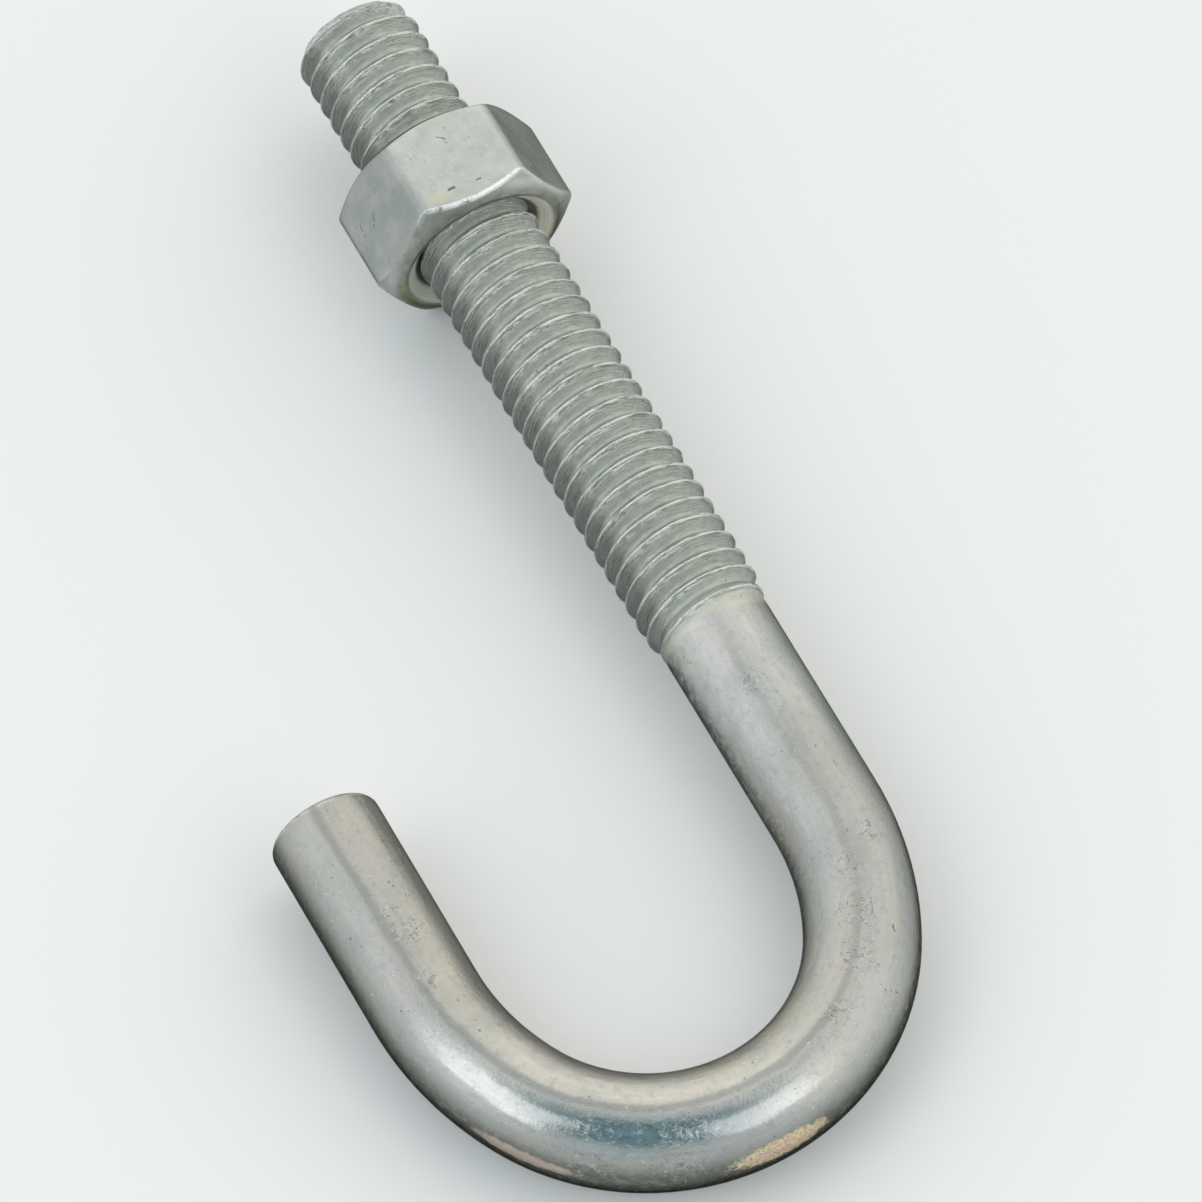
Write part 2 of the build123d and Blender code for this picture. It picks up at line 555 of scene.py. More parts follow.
class Sheet:
    """A sheet of nodes, with one shader that it feeds."""

    def __init__(self, owner, shader):
        owner.use_nodes = True
        self.nodes, self.links = owner.node_tree.nodes, owner.node_tree.links
        self.shader = self.nodes[shader]

    def node(self, kind, settings, inputs, output=0):
        """Adds a shader node: its settings first, then the values or wires of its sockets."""
        node = self.nodes.new("ShaderNode" + kind)
        for setting, value in settings.items():
            setattr(node, setting, value)
        for socket, value in inputs.items():
            self.feed(node.inputs[socket], value)
        return Wire(self, node.outputs[output])

    def feed(self, socket, value):
        if isinstance(value, Wire):
            self.links.new(value.socket, socket)
        elif socket.type == "RGBA":
            socket.default_value = (*value, 1.0)
        else:
            socket.default_value = value

    def finish(self, **inputs):
        """Feeds the shader's own sockets, named with _ for a space."""
        for name, value in inputs.items():
            self.feed(self.shader.inputs[name.replace("_", " ")], value)

    def maths(self, operation, *values):
        return self.node("Math", {"operation": operation}, dict(enumerate(values)))

    def apart(self, vector):
        """The three parts of a vector."""
        first = self.node("SeparateXYZ", {}, {0: vector})
        return [Wire(self, socket) for socket in first.socket.node.outputs]

    def measure(self, operation, *vectors):
        """A number worked out from vectors, such as a distance."""
        return self.node("VectorMath", {"operation": operation}, dict(enumerate(vectors)), "Value")

    def mix(self, share, plain, changed):
        """Two colours mixed by share. A Mix node's colours are its inputs 6 and 7 and its output 2."""
        return self.node("Mix", {"data_type": "RGBA"}, {0: share, 6: plain, 7: changed}, output=2)

    def stretched(self, place, scale, shift=(0, 0, 0)):
        return self.node("Mapping", {}, {"Vector": place, "Scale": scale, "Location": shift})

    def noise(self, place, scale, detail=3.0, roughness=0.55, distortion=0.0):
        inputs = {"Vector": place, "Scale": scale, "Detail": detail}
        return self.node("TexNoise", {}, inputs | {"Roughness": roughness, "Distortion": distortion})

    def pits(self, place, scale, reach):
        """1 at the middle of scattered round pits, 0 outside them, with reach as a share of their spacing."""
        return self.node("TexVoronoi", {}, {"Vector": place, "Scale": scale}).rise(reach, reach * 0.35)

    def shaken(self, place, scale, size):
        """The place, moved about by noise."""
        shift = self.node("TexNoise", {}, {"Vector": place, "Scale": scale, "Detail": 2.0}, "Color")
        shift = self.node("VectorMath", {"operation": "SUBTRACT"}, {0: shift, 1: (0.5, 0.5, 0.5)})
        inputs = {0: shift, 1: (size, size, size), 2: place}
        return self.node("VectorMath", {"operation": "MULTIPLY_ADD"}, inputs)

    def scratch(self, place, start, end, width):
        """1 along the straight line from start to end, 0 beyond half its width."""
        middle, half = (start + end) / 2, (end - start) / 2
        off = self.node("VectorMath", {"operation": "SUBTRACT"}, {0: place, 1: middle})
        lengthwise = self.measure("DOT_PRODUCT", off, half.normalized())
        span = self.measure("LENGTH", off)
        aside = self.maths("SQRT", (span * span - lengthwise * lengthwise).most(0.0))
        return lengthwise.size().rise(half.length, half.length * 0.7) * aside.rise(width, width * 0.4)

    def off_patch(self, lengthwise, crosswise, middle, half):
        """0 in the middle of an oval patch and 1 at its edge, given its middle and half its sizes."""
        far = self.maths("POWER", (lengthwise - middle[0]) / half[0], 2.0)
        return far + self.maths("POWER", (crosswise - middle[1]) / half[1], 2.0)

    def hairlines(self, place, scale, width, distortion):
        """1 along fine wandering lines, 0 elsewhere."""
        return (self.noise(place, scale, 2.0, 0.5, distortion) - 0.5).size().rise(width, width * 0.3)


def on_rod(along, degrees_round):
    """A place on the unbent rod's surface, from its length along and its angle from the top outwards."""
    angle = radians(degrees_round)
    return Vector((ROD_RADIUS * sin(angle), along, ROD_RADIUS * cos(angle)))


# Scratches on the rod: (along, degrees round) of both ends, and half the width in millimetres
ROD_SCRATCHES = (
    ((31.5, 30), (31.9, 41), 0.05),
    ((31.9, 41), (31.4, 52), 0.05),
    ((27.5, 30), (28.0, 35), 0.07),
    ((28.0, 33), (27.2, 31), 0.05),
    ((1.2, -58), (2.4, -52), 0.05),
    ((14.0, 21), (15.6, 19), 0.03),
    ((20.2, -22), (21.2, -24), 0.03),
    ((69.0, -34), (70.4, -31), 0.03),
)
# Clusters of pits on the rod: (along, degrees round) of the middle, and the reach in millimetres
ROD_PITS = (
    ((6.4, -9), 1.6),
    ((23.0, -9), 1.8),
    ((26.5, -4), 2.4),
    ((30.5, 0), 2.4),
    ((35.0, 6), 1.6),
    ((70.0, 3), 1.5),
    ((74.3, -8), 2.0),
    ((76.0, -2), 1.2),
    ((20.5, 20), 1.4),
    ((49.0, 62), 2.8),
    ((54.0, 66), 2.2),
)
# Patches on the rod: (along, around) of the middle, and half the length and width, in millimetres
SCRAPED_PATCH = ((43.0, 5.7), (3.0, 0.95))
FLUSHED_PATCH = ((58.0, 6.0), (3.5, 0.6))
# A painted dark reflection of the dim room overhead, in a line along the top of the rod: how far round it
# starts, and how far it leans for each millimetre
TOP_REFLECTION_START = 0.885
TOP_REFLECTION_LEAN = 0.0206
# The middles of the crown's burnished stretch and of the stretch of painted teal reflections and glints in
# it, along the rod
BURNISHED_MIDDLE = 52.0
GLITTER_MIDDLE = 51.0


def rod_spot(zinc):
    """Where a spot lies on the unbent rod and on its thread, with the noises that its finish shares."""
    spot = SimpleNamespace()
    spot.place = place = zinc.node("Attribute", {"attribute_name": "unbent"}, {}, "Vector")
    spot.outward, spot.along, spot.up = zinc.apart(place)
    angle = zinc.maths("ARCTAN2", spot.outward, spot.up)
    spot.around = angle * ROD_RADIUS
    spot.turns = (PLAIN_SHANK - CREST_AT_TOP - spot.along) / PITCH - angle / (2 * pi)
    spot.past_crest = (0.5 - zinc.maths("FRACT", spot.turns + 0.5)) * PITCH
    thread_face = spot.along.rise(0.1 - THREAD_LENGTH, 0.03 - THREAD_LENGTH)
    spot.end_face = thread_face.most(spot.along.rise(ROD_END - 0.1, ROD_END - 0.03))
    spot.threaded = spot.along.rise(0.4, -0.5) * (1 - spot.end_face)
    spot.hooked = spot.along.rise(22.0, 40.0)
    spot.above = spot.up.rise(-3.2, -1.0)
    spot.streaks = zinc.noise(zinc.stretched(place, (0.5, 0.05, 0.5)), 1.0, 4.0, 0.6)
    spot.drawn = zinc.noise(zinc.stretched(place, (2.4, 0.12, 2.4), (3, 0, 8)), 1.0, 3.0, 0.6)
    spot.cloud = zinc.noise(place, 0.3, 3.0, 0.6)
    spot.mottle = zinc.noise(place, 1.5, 5.0, 0.68)
    spot.grain = zinc.noise(place, 6.0, 3.0, 0.7)
    spot.seams = rolled_noise(zinc, spot, 0.6, 9.0, roughness=0.65)
    spot.hatch = rolled_noise(zinc, spot, 1.1, 26.0, roughness=0.7)
    spot.glints = zinc.noise(zinc.stretched(place, (1, 0.7, 1), (1, 2, 9)), 2.6, 2.0, 0.6)
    return spot


def rolled_noise(zinc, spot, around_scale, turn_scale, shift=0.0, detail=3.0, roughness=0.6):
    """Noise drawn out along the turns of the thread."""
    parts = {"X": spot.around * around_scale, "Y": spot.turns * turn_scale, "Z": shift}
    return zinc.noise(zinc.node("CombineXYZ", {}, parts), 1.0, detail, roughness)


def tinted_noise(zinc, place, scale, shift, low, high):
    """Long soft patches of one tint of the zinc."""
    return zinc.noise(zinc.stretched(place, scale, shift), 1.0, 4.0, 0.6).rise(low, high)


def drawn_zinc(zinc, spot):
    """The plain rod: grey streaks and yellow, pink and blue tints, a painted warm reflection inside the hook,
    a painted lighter inner rim, painted shade on the hook's outer flank and along both sides, and a painted
    dark reflection along the top.
    """
    place, along, around, above, hooked = spot.place, spot.along, spot.around, spot.above, spot.hooked
    yellow = tinted_noise(zinc, place, (0.28, 0.1, 0.28), (11, 4, 2), 0.48, 0.66)
    pink = tinted_noise(zinc, place, (0.3, 0.12, 0.3), (5, 31, 7), 0.52, 0.68)
    blue = tinted_noise(zinc, place, (0.3, 0.09, 0.3), (25, 13, 1), 0.54, 0.7)
    # Painted warm reflection of the room inside the hook, broken up by the streaks
    painted_warm_inner = hooked * around.rise(1.5, -1.0) * spot.streaks.rise(0.3, 0.55)

    colour = zinc.mix(spot.streaks.rise(0.36, 0.64), (0.515, 0.53, 0.515), (0.60, 0.61, 0.59))
    colour = zinc.mix(painted_warm_inner * 0.65, colour, (0.70, 0.66, 0.565))
    # Painted light on the upper inner rim of the hook, lightening the shade it reflects
    painted_light_inner_rim = hooked * around.rise(-3.4, -4.8) * 0.7
    colour = zinc.mix(above * painted_light_inner_rim, colour, (0.70, 0.68, 0.61))
    colour = zinc.mix(yellow * 0.6, colour, (0.59, 0.565, 0.47))
    colour = zinc.mix(pink * 0.5, colour, (0.60, 0.54, 0.54))
    colour = zinc.mix(blue * 0.5, colour, (0.46, 0.50, 0.54))
    colour = zinc.mix(spot.drawn.rise(0.35, 0.7) * 0.3, colour, (0.42, 0.44, 0.43))
    colour = zinc.mix(spot.mottle.rise(0.48, 0.78) * 0.65, colour, (0.36, 0.375, 0.36))
    colour = zinc.mix(spot.grain.rise(0.55, 0.8) * 0.4, colour, (0.28, 0.29, 0.28))
    # Painted shade on the upper outer flank of the hook
    colour = zinc.mix(hooked * above * around.rise(3.2, 5.6) * 0.85, colour, (0.2, 0.205, 0.185))
    colour = zinc.mix(spot.cloud.rise(0.45, 0.7) * 0.4, colour, (0.40, 0.42, 0.40))
    # Painted shade along both upper sides of the rod, broken up by the mottle
    painted_dark_rims = above * around.size().rise(4.3, 5.8) * spot.mottle.rise(0.33, 0.55) * (1 - painted_light_inner_rim)
    colour = zinc.mix(painted_dark_rims * 0.6, colour, (0.13, 0.135, 0.12))
    legward = along.rise(60.0, 68.0).most(along.rise(9.0, 15.0) * along.rise(34.0, 26.0) * 0.5)
    colour = zinc.mix(legward * 0.35, colour, (0.30, 0.30, 0.28))
    colour = zinc.mix(along.rise(6.0, 12.0) * along.rise(44.0, 34.0) * 0.15, colour, (0.25, 0.25, 0.24))
    # Painted dark reflection of the dim room overhead, in a wavering line along the top of the rod
    painted_top_reflection = around - along * TOP_REFLECTION_LEAN + TOP_REFLECTION_START + (spot.cloud - 0.5) * 0.7
    painted_top_reflection = painted_top_reflection.size().rise(0.48, 0.1) * along.rise(1.0, 4.0) * (0.5 + hooked * 0.5)
    return zinc.mix(painted_top_reflection * 0.55, colour, (0.27, 0.285, 0.275))


def thread_areas(zinc, spot):
    """The crests, the strip beside them, the shade under them and the glinting strip on the lit side."""
    past_crest, around, threaded = spot.past_crest, spot.around, spot.threaded
    spot.crest = past_crest.size().rise(0.19, 0.07) * threaded
    spot.by_crest = past_crest.size().rise(0.5, 0.15) * threaded
    spot.under_crest = past_crest.rise(0.04, 0.1) * past_crest.rise(0.42, 0.16) * threaded
    lit_strip = past_crest.rise(-0.08, 0.0) * past_crest.rise(0.46, 0.16)
    lit_side = around.rise(-4.3, -3.0) * around.rise(1.2, -0.9)
    fine_hatch = rolled_noise(zinc, spot, 1.3, 12.0, shift=3.0, detail=2.0)
    spot.gleam = lit_strip * lit_side * threaded * fine_hatch.rise(0.46, 0.54)


def thread_zinc(zinc, spot, colour):
    """The thread over the rod: dull flanks, painted shade on its upper inner side and under the crests,
    painted white glints on the lit side, crests worn bright and painted as highlights, and the pale ring
    where it runs out.
    """
    dull = zinc.mix(spot.mottle.rise(0.3, 0.7), (0.60, 0.625, 0.585), (0.73, 0.745, 0.70))
    dull = zinc.mix(spot.seams.rise(0.5, 0.75) * 0.4, dull, (0.42, 0.44, 0.41))
    dull = zinc.mix(spot.hatch.rise(0.5, 0.7) * 0.4, dull, (0.36, 0.38, 0.36))
    # Painted shade on the upper inner side of the thread
    dull = zinc.mix(spot.above * spot.around.rise(-3.4, -5.6) * 0.65, dull, (0.22, 0.23, 0.22))
    colour = zinc.mix(spot.threaded, colour, dull)
    # Painted shade under each crest
    colour = zinc.mix(spot.under_crest * spot.seams.rise(0.62, 0.42) * 0.55, colour, (0.30, 0.32, 0.30))
    # Painted white glints on the lit side of the thread
    colour = zinc.mix(spot.gleam * 0.9, colour, (1.0, 1.0, 1.0))
    # Crests worn bright and painted brighter as highlights, dimmed on the shaded inner side
    lit_crest = spot.crest * (1 - spot.above * spot.around.rise(-3.2, -4.8) * 0.6)
    colour = zinc.mix(lit_crest * spot.seams.rise(0.4, 0.52), colour, (0.95, 0.96, 0.94))
    colour = zinc.mix(spot.crest * spot.seams.rise(0.47, 0.4) * 0.7, colour, (0.30, 0.31, 0.29))
    ring = (spot.along + 0.15).size().rise(0.75, 0.1)
    return zinc.mix(ring * 0.5, colour, (0.64, 0.62, 0.52))


def sawn_ends(zinc, spot, colour):
    """Both ends: a plain sawn face with a battered bright rim."""
    reach = zinc.maths("SQRT", spot.outward * spot.outward + spot.up * spot.up)
    cut_end = spot.along.rise(1.5 - THREAD_LENGTH, 0.8 - THREAD_LENGTH)
    tip = spot.along.rise(ROD_END - 0.75, ROD_END - 0.25)
    spot.battered = reach.rise(ROD_RADIUS - 1.3, ROD_RADIUS - 0.7) * (cut_end * 0.8).most(tip * 0.6)
    sawn = zinc.mix(spot.mottle.rise(0.3, 0.7), (0.40, 0.41, 0.39), (0.50, 0.51, 0.48))
    colour = zinc.mix(spot.end_face, colour, sawn)
    return zinc.mix(spot.battered * spot.mottle.rise(0.38, 0.52), colour, (0.90, 0.90, 0.88))


def scraped_patches(zinc, spot, colour):
    """The scraped golden patch outside the crown, and the faint flush further on."""
    off_scrape = zinc.off_patch(spot.along, spot.around, *SCRAPED_PATCH)
    blotch = zinc.noise(spot.place, 2.6, 4.0, 0.7)
    spot.scraped = (off_scrape + (blotch - 0.5) * 2.2).rise(1.25, 0.65)
    gold = (blotch + off_scrape * 0.12).rise(0.48, 0.6)
    scraped_colour = zinc.mix(gold, (0.76, 0.56, 0.48), (0.84, 0.74, 0.47))
    scraped_colour = zinc.mix(spot.grain.rise(0.5, 0.62) * 0.7, scraped_colour, (0.26, 0.20, 0.12))
    colour = zinc.mix(spot.scraped * 0.95, colour, scraped_colour)
    off_flush = zinc.off_patch(spot.along, spot.around, *FLUSHED_PATCH)
    flushed = (off_flush + (spot.mottle - 0.5) * 2.0).rise(1.3, 0.4)
    return zinc.mix(flushed * 0.75, colour, (0.66, 0.54, 0.48))


def rod_marks(zinc, spot, colour):
    """Pits, clusters of broken hairlines, scratches and small worn spots."""
    place, cloud = spot.place, spot.cloud
    pitted = zinc.pits(place, 0.6, 0.075) * cloud.rise(0.42, 0.55)
    larger = zinc.pits(zinc.stretched(place, (1, 0.6, 1), (7, 3, 1)), 1.6, 0.12) * cloud.rise(0.5, 0.6)
    specks = zinc.hairlines(place, 1.3, width=0.035, distortion=1.5)
    specks = specks * zinc.noise(place, 2.2, 3.0, 0.6).rise(0.5, 0.58)
    shifted = zinc.stretched(place, (1, 1, 1), (0.12, 0.1, 0))
    flecks = zinc.hairlines(shifted, 1.3, width=0.035, distortion=1.5)
    flecks = flecks * zinc.noise(place, 1.7, 3.0, 0.6).rise(0.5, 0.58)
    nearby = 0.0
    for middle, reach in ROD_PITS:
        near = zinc.measure("DISTANCE", place, on_rod(*middle))
        nearby = near.rise(reach, reach * 0.3).most(nearby)
    shaky = zinc.shaken(place, 1.4, 0.5)
    scratched = 0.0
    for start, end, width in ROD_SCRATCHES:
        scratched = zinc.scratch(shaky, on_rod(*start), on_rod(*end), width).most(scratched)
    spot.marks = pitted.most(larger).most(nearby * specks * 0.7).most(scratched)
    colour = zinc.mix(spot.marks * 0.65, colour, (0.12, 0.12, 0.11))
    worn = zinc.noise(zinc.stretched(place, (1, 0.8, 1), (2, 5, 6)), 3.0, 3.0, 0.6).rise(0.66, 0.74)
    return zinc.mix(worn.most(nearby * flecks * 0.6) * 0.6, colour, (0.74, 0.74, 0.72))


def rod_relief(zinc, spot):
    """How rough the rod is, and the height of its surface in millimetres."""
    along, around = spot.along, spot.around
    burnished = (along - BURNISHED_MIDDLE).size().rise(17.0, 12.0)
    burnished = burnished * around.rise(0.6, 1.4) * around.rise(4.2, 3.4)
    rough = 0.24 - burnished * 0.1 + (spot.mottle - 0.5) * 0.12 + (spot.streaks - 0.5) * 0.08
    rough = rough + spot.scraped * 0.12 + spot.marks * 0.2 + (along - 50.0).size().rise(20.0, 40.0) * 0.06
    rough = rough + spot.threaded * 0.2 - spot.by_crest * 0.16 - spot.gleam * 0.15
    lumps = zinc.noise(zinc.stretched(spot.place, (0.7, 0.3, 0.7), (2, 9, 4)), 1.0, 2.0, 0.5)
    fine = spot.mottle * 0.04 + spot.grain * 0.022 + spot.drawn * 0.005
    height = lumps * 0.035 + fine * (1 - burnished * 0.75) - spot.marks * 0.03
    height = height + spot.crest * spot.seams * 0.1 + spot.sparkly * spot.glints * 0.05
    height = height + spot.threaded * (spot.hatch * (spot.by_crest * 0.08 + 0.05) + spot.seams * 0.06)
    return rough, height + spot.battered * spot.mottle * 0.3


def rod_finish():
    """Bright zinc drawn along the rod: streaked and tinted, dull on the thread, scraped at the bend."""
    material = bpy.data.materials.new("rod_zinc")
    zinc = Sheet(material, "Principled BSDF")
    spot = rod_spot(zinc)
    thread_areas(zinc, spot)
    colour = thread_zinc(zinc, spot, drawn_zinc(zinc, spot))
    colour = sawn_ends(zinc, spot, colour)
    colour = scraped_patches(zinc, spot, colour)
    colour = rod_marks(zinc, spot, colour)
    on_crown = (spot.along - GLITTER_MIDDLE).size().rise(6.0, 3.0)
    spot.sparkly = on_crown * spot.around.rise(0.7, 1.5) * spot.around.rise(3.3, 2.6)
    # Painted teal reflections and painted light glints over the crown's glittering stretch
    colour = zinc.mix(spot.sparkly * spot.glints.rise(0.5, 0.6) * 0.5, colour, (0.2, 0.27, 0.28))
    colour = zinc.mix(spot.sparkly * spot.glints.rise(0.4, 0.32) * 0.65, colour, (0.9, 0.92, 0.92))
    rough, height = rod_relief(zinc, spot)
    bump = zinc.node("Bump", {}, {"Strength": 1.0, "Distance": MM, "Height": height})
    zinc.finish(Base_Color=colour, Metallic=1.0, Roughness=rough, Normal=bump, Specular_Tint=EDGE_TINT)
    return material


# Marks on the nut: both ends as (across, from the hook's face, up) and half the width, in millimetres
NUT_SCRATCHES = (
    ((-1.6, 1.8, 7.05), (-0.95, 1.9, 7.05), 0.15),
    ((-1.9, 1.72, 7.05), (-1.5, 1.78, 7.05), 0.06),
    ((0.6, 1.6, 7.05), (1.05, 1.7, 7.05), 0.07),
    ((-0.3, 6.2, 7.05), (0.3, 5.7, 7.05), 0.06),
    ((0.1, 5.6, 7.05), (0.25, 5.3, 7.05), 0.05),
    ((-6.25, 4.9, 3.27), (-6.65, 3.9, 2.58), 0.05),
    ((-5.5, 6.2, 4.57), (-5.7, 5.5, 4.22), 0.04),
    ((-7.2, 5.4, 1.63), (-7.35, 4.2, 1.37), 0.04),
    ((5.4, 5.0, 4.74), (6.0, 4.4, 3.7), 0.04),
)
# The stain on the nut's light flat: (across, along) of the middle, and half the width and length
NUT_STAIN = ((-2.4, 1.5), (1.1, 0.6))


def nut_spot(zinc):
    """Where a spot lies on the nut, with the noises that its finish shares."""
    spot = SimpleNamespace()
    spot.place = zinc.node("Attribute", {"attribute_name": "drawn"}, {}, "Vector")
    spot.across, spot.along, spot.up = zinc.apart(spot.place)
    spot.reach = zinc.maths("SQRT", spot.across * spot.across + spot.up * spot.up)
    spot.above_chamfer = spot.along - (spot.reach - NUT_FACE_RADIUS) * NEAR_CHAMFER_SLOPE
    upwards, sideways = cos(pi / 3), sin(pi / 3)
    spot.left_side = spot.up * upwards - spot.across * sideways
    right_side = spot.up * upwards + spot.across * sideways
    spot.flats = spot.up.size().most(right_side.size()).most(spot.left_side.size())
    spot.mottle = zinc.noise(spot.place, 1.2, 5.0, 0.68)
    spot.cloud = zinc.noise(spot.place, 0.35, 3.0, 0.55)
    return spot


def satin_zinc(zinc, spot):
    """The nut's flats, with painted dark reflections on its faces and on the upper part of its chamfer on the
    hook's side.
    """
    across, up, reach, mottle = spot.across, spot.up, spot.reach, spot.mottle
    from_face = spot.along.least(NUT_THICKNESS - spot.along)
    colour = zinc.mix(spot.cloud.rise(0.35, 0.65), (0.52, 0.545, 0.52), (0.58, 0.60, 0.575))
    colour = zinc.mix(mottle.rise(0.45, 0.75) * 0.5, colour, (0.42, 0.44, 0.42))
    # Painted dark reflection on both faces of the nut, olive-brown towards the lower left
    painted_dark_faces = from_face.rise(0.75, 0.15) * reach.rise(NUT_FACE_RADIUS + 0.9, NUT_FACE_RADIUS + 0.1)
    face_shade_zinc = zinc.mix(mottle.rise(0.35, 0.65), (0.22, 0.25, 0.22), (0.31, 0.33, 0.28))
    colour = zinc.mix(painted_dark_faces * 0.85, colour, face_shade_zinc)
    colour = zinc.mix(painted_dark_faces * (across + up).rise(-4.5, -7.0) * 0.7, colour, (0.40, 0.395, 0.27))
    # Painted dark reflection on the upper part of the chamfer on the hook's side
    painted_dark_chamfer = spot.above_chamfer.size().rise(0.22, 0.06)
    painted_dark_chamfer = painted_dark_chamfer * reach.rise(NUT_FACE_RADIUS - 0.1, NUT_FACE_RADIUS + 0.1)
    painted_dark_chamfer = painted_dark_chamfer * up.rise(1.0, 3.0) * across.rise(3.5, 1.5)
    chamfer_shade_zinc = zinc.mix(mottle.rise(0.35, 0.65), (0.17, 0.2, 0.17), (0.3, 0.32, 0.28))
    return zinc.mix(painted_dark_chamfer * 0.6, colour, chamfer_shade_zinc)


def ivory_mouth(zinc, spot, colour):
    """The countersink, turned in fine rings and ivory, and painted shade on the thread in the bore behind it.
    """
    spot.mouth = spot.reach.rise(SINK_MOUTH_RADIUS + 0.1, SINK_MOUTH_RADIUS - 0.1)
    turned = zinc.noise(zinc.node("CombineXYZ", {}, {"X": spot.reach * 5.0, "Y": 0.0, "Z": 0.0}), 1.0, 2.0)
    ivory = zinc.mix(turned.rise(0.4, 0.6), (0.85, 0.83, 0.7), (0.97, 0.95, 0.83))
    colour = zinc.mix(spot.mouth, colour, ivory)
    # Painted shade in the bore, on the thread behind the countersink
    return zinc.mix(spot.reach.rise(5.2, 4.9) * 0.9, colour, (0.1, 0.1, 0.08))


def rubbed_edges(zinc, spot, colour):
    """The edges worn bright and painted brighter as a highlight below the light flat, the duller corners,
    painted shade on the left flat and the stain.
    """
    across, up, mottle = spot.across, spot.up, spot.mottle
    half_flats = ACROSS_FLATS / 2
    # Edges worn bright, painted brighter still as a highlight along the lit edge below the light flat
    rubbed = spot.flats.rise(half_flats - 0.35, half_flats - 0.15) * spot.above_chamfer.rise(0.24, 0.1)
    lit_edge = up.rise(5.0, 6.9) * across.rise(4.3, 3.3)
    spot.rubbed = rubbed * mottle.rise(0.3, 0.5) * (0.3 + lit_edge * 0.7)
    colour = zinc.mix(spot.rubbed, colour, (0.95, 0.95, 0.94))
    spot.cornered = spot.flats.rise(half_flats - 0.03, half_flats - 0.2) * spot.reach.rise(7.2, 7.5)
    colour = zinc.mix(spot.cornered * 0.35, colour, (0.38, 0.40, 0.39))
    # Painted shade on the left flat
    spot.leftward = spot.left_side.rise(6.5, 7.0)
    left_flat_shade_zinc = zinc.mix(spot.cloud.rise(0.4, 0.6), (0.27, 0.30, 0.28), (0.34, 0.36, 0.355))
    colour = zinc.mix(spot.leftward * 0.6, colour, left_flat_shade_zinc)
    off_stain = zinc.off_patch(across, spot.along, *NUT_STAIN)
    stained = (off_stain + (mottle - 0.5) * 3.0).rise(1.3, 0.0) * up.rise(6.5, 6.9)
    return zinc.mix(stained * mottle.rise(0.35, 0.6) * 0.55, colour, (0.66, 0.64, 0.30))


def nut_marks(zinc, spot, colour):
    """Fine hairlines, the nick and scratches, scattered pits and small worn spots."""
    place, cloud = spot.place, spot.cloud
    shaky = zinc.shaken(place, 1.4, 0.4)
    drawn_out = zinc.stretched(place, (1.1, 0.3, 1.1))
    scratched = zinc.hairlines(drawn_out, 1.0, width=0.003, distortion=0.2)
    scratched = scratched * cloud.rise(0.5, 0.58) * 0.4
    for start, end, width in NUT_SCRATCHES:
        scratched = zinc.scratch(shaky, Vector(start), Vector(end), width).most(scratched)
    spot.marks = scratched.most(zinc.pits(place, 0.8, 0.09) * cloud.rise(0.45, 0.6))
    colour = zinc.mix(spot.marks * 0.75, colour, (0.10, 0.10, 0.09))
    worn = zinc.noise(zinc.stretched(place, (1, 0.8, 1), (2, 5, 6)), 3.0, 3.0, 0.6).rise(0.64, 0.72)
    return zinc.mix(worn * (0.4 - spot.leftward * 0.3), colour, (0.72, 0.73, 0.71))


def nut_finish():
    """Satin zinc on the nut: cloudy flats with fine scratches, a nick and a stain, and an ivory mouth."""
    material = bpy.data.materials.new("nut_zinc")
    zinc = Sheet(material, "Principled BSDF")
    spot = nut_spot(zinc)
    colour = ivory_mouth(zinc, spot, satin_zinc(zinc, spot))
    colour = nut_marks(zinc, spot, rubbed_edges(zinc, spot, colour))
    rough = 0.34 + (spot.mottle - 0.5) * 0.15 + spot.marks * 0.2
    rough = rough + spot.mouth * 0.2 - spot.rubbed * 0.16 + spot.cornered * 0.15
    lumps = zinc.noise(spot.place, 0.45, 2.0, 0.5)
    grain = zinc.noise(spot.place, 6.0, 3.0, 0.7)
    height = lumps * 0.09 + spot.mottle * 0.036 + grain * 0.012 - spot.marks * 0.04
    bump = zinc.node("Bump", {}, {"Strength": 1.0, "Distance": MM, "Height": height})
    metal = 1 - spot.mouth * 0.8
    zinc.finish(Base_Color=colour, Metallic=metal, Roughness=rough, Normal=bump, Specular_Tint=EDGE_TINT)
    return material


bolt.data.materials.append(rod_finish())
nut.data.materials.append(nut_finish())

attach(bolt, "bolt")
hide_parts("j_bolt")
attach(nut, "nut")
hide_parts("hex_nut")

# ---- floor, light and camera, in metres and degrees ----

FLOOR_WIDTH = 1.6
# The floor as the bolt is lit by it, and as it is seen
FLOOR_GREY = 0.63
FLOOR_PALE = 0.92
# At radiance 1 a mirror shows a lamp white
LAMP_RADIANCE = 0.75
LAMP_COLOUR = (1.0, 0.94, 0.95)
# The side that the camera looks from, from +Y towards +X
CAMERA_SIDE = -152
CAMERA_PLACE = (-0.200882, -0.458982, 0.842707)
CAMERA_AIM = (0.008295, -0.002304, 0.005)
CAMERA_ROLL = -3.84
CAMERA_REACH = (0.05, 10)
# The lens and the width of the sensor, in millimetres
CAMERA_LENS = 406.8
CAMERA_SENSOR = 36


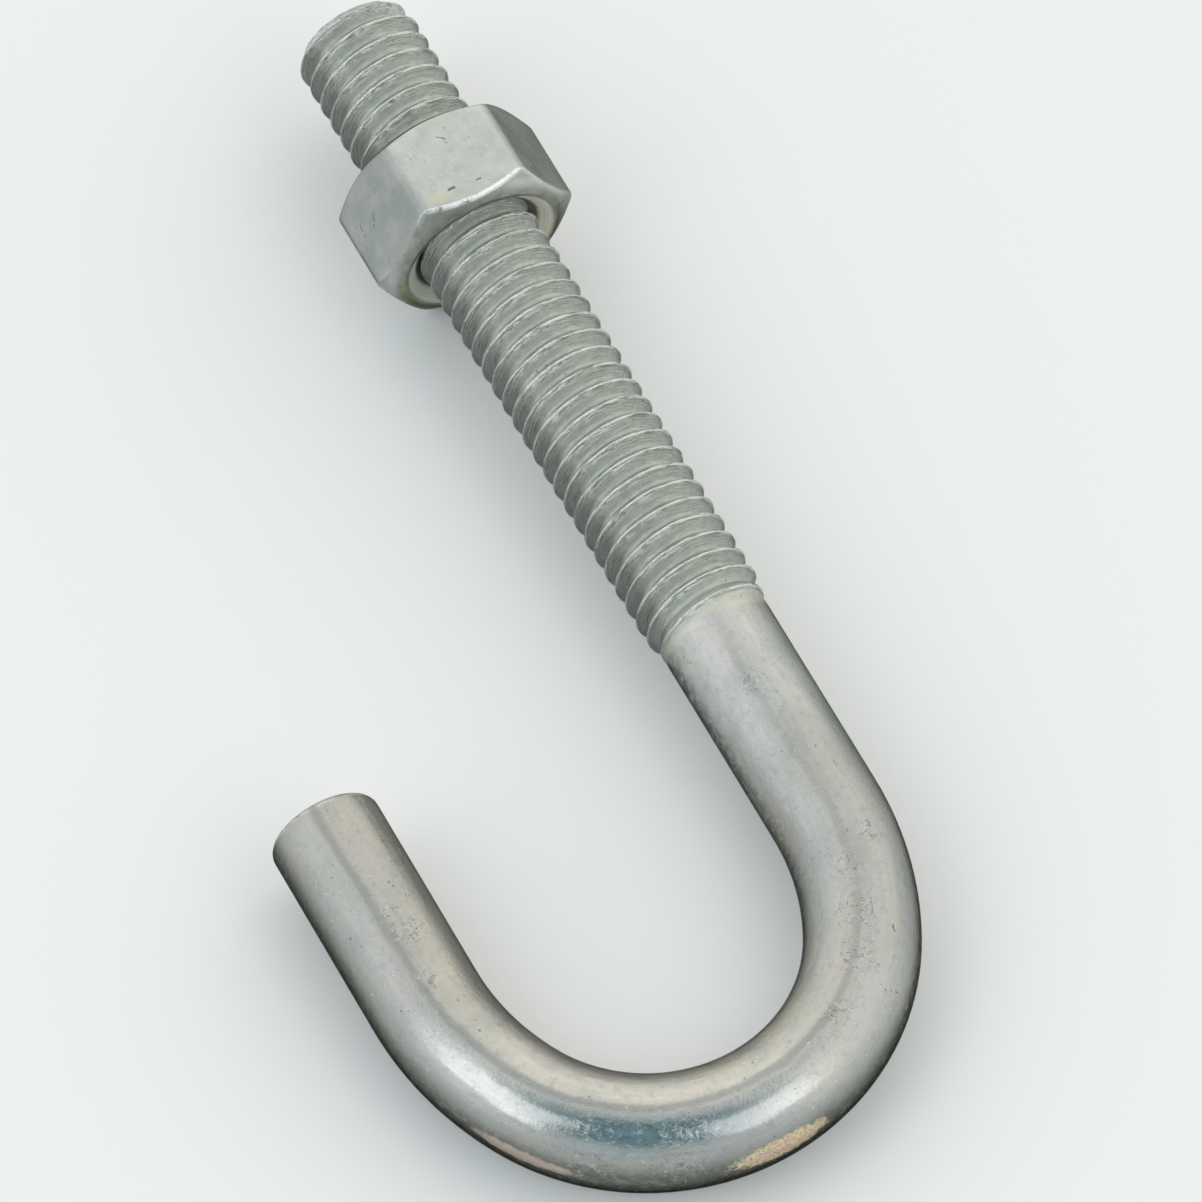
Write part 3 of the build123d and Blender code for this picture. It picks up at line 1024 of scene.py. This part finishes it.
def lay_floor():
    start_clean()
    bpy.ops.mesh.primitive_plane_add(size=FLOOR_WIDTH, location=(0, 0, 0))
    floor = bpy.context.object
    floor.name = "floor"
    paper = bpy.data.materials.new("pale_paper")
    sheet = Sheet(paper, "Principled BSDF")
    seen = sheet.node("LightPath", {}, {}, "Is Camera Ray")
    for ray in ("Is Glossy Ray", "Is Transmission Ray"):
        seen = seen.most(sheet.node("LightPath", {}, {}, ray))
    colour = sheet.mix(seen, (FLOOR_GREY,) * 3, (FLOOR_PALE,) * 3)
    sheet.finish(Base_Color=colour, Roughness=0.9, Specular_IOR_Level=0.1)
    floor.data.materials.append(paper)


def direction(azimuth, elevation):
    """A unit vector. Azimuth is from +Y towards +X, in degrees."""
    a, e = radians(azimuth), radians(elevation)
    return Vector((sin(a) * cos(e), cos(a) * cos(e), sin(e)))


def softbox(name, azimuth, elevation, width, height):
    """A soft lamp a metre away, aimed at the bolt."""
    away = direction(azimuth, elevation)
    data = bpy.data.lights.new(name, "AREA")
    data.shape = "RECTANGLE"
    data.size, data.size_y = width, height
    data.energy = LAMP_RADIANCE * pi * width * height
    data.color = LAMP_COLOUR
    lamp = bpy.data.objects.new(name, data)
    bpy.context.scene.collection.objects.link(lamp)
    lamp.location = away
    lamp.rotation_euler = away.to_track_quat("Z", "Y").to_euler()


def light_room():
    """A pale room: bright round the sides, dimmer overhead, near the floor and behind the camera."""
    world = bpy.data.worlds.new("room")
    bpy.context.scene.world = world
    room = Sheet(world, "Background")
    way = room.node("TexCoord", {}, {}, "Generated")
    east, north, skyward = room.apart(way)
    behind = room.measure("DOT_PRODUCT", way, direction(CAMERA_SIDE, 57))
    low_behind = room.measure("DOT_PRODUCT", way, direction(CAMERA_SIDE, 5))
    colour = room.mix((east + north * 0.6).rise(-0.9, 0.8), (0.94, 1.0, 1.03), (1.12, 1.11, 1.05))
    colour = room.mix(skyward.rise(0.88, 0.985), colour, (0.74, 0.76, 0.76))
    colour = room.mix(skyward.rise(0.3, -0.05), colour, (0.70, 0.69, 0.67))
    colour = room.mix(low_behind.rise(0.4, 0.85) * 0.5, colour, (0.42, 0.46, 0.46))
    colour = room.mix(behind.rise(cos(radians(39)), cos(radians(20))), colour, (0.24, 0.37, 0.40))
    room.finish(Color=colour, Strength=1.0)


def place_camera():
    data = bpy.data.cameras.new("camera")
    data.sensor_width = CAMERA_SENSOR
    data.lens = CAMERA_LENS
    data.clip_start, data.clip_end = CAMERA_REACH
    camera = bpy.data.objects.new("camera", data)
    bpy.context.scene.collection.objects.link(camera)
    line_of_sight = Vector(CAMERA_AIM) - Vector(CAMERA_PLACE)
    upright = line_of_sight.to_track_quat("-Z", "Y").to_matrix()
    camera.location = CAMERA_PLACE
    camera.rotation_euler = (upright @ Matrix.Rotation(radians(CAMERA_ROLL), 3, "Z")).to_euler()
    bpy.context.scene.camera = camera


lay_floor()
light_room()
softbox("left_softbox", azimuth=-97, elevation=46, width=0.58, height=0.66)
softbox("front_softbox", azimuth=165, elevation=47, width=0.54, height=0.6)
place_camera()
bpy.context.scene.view_settings.view_transform = "Standard"
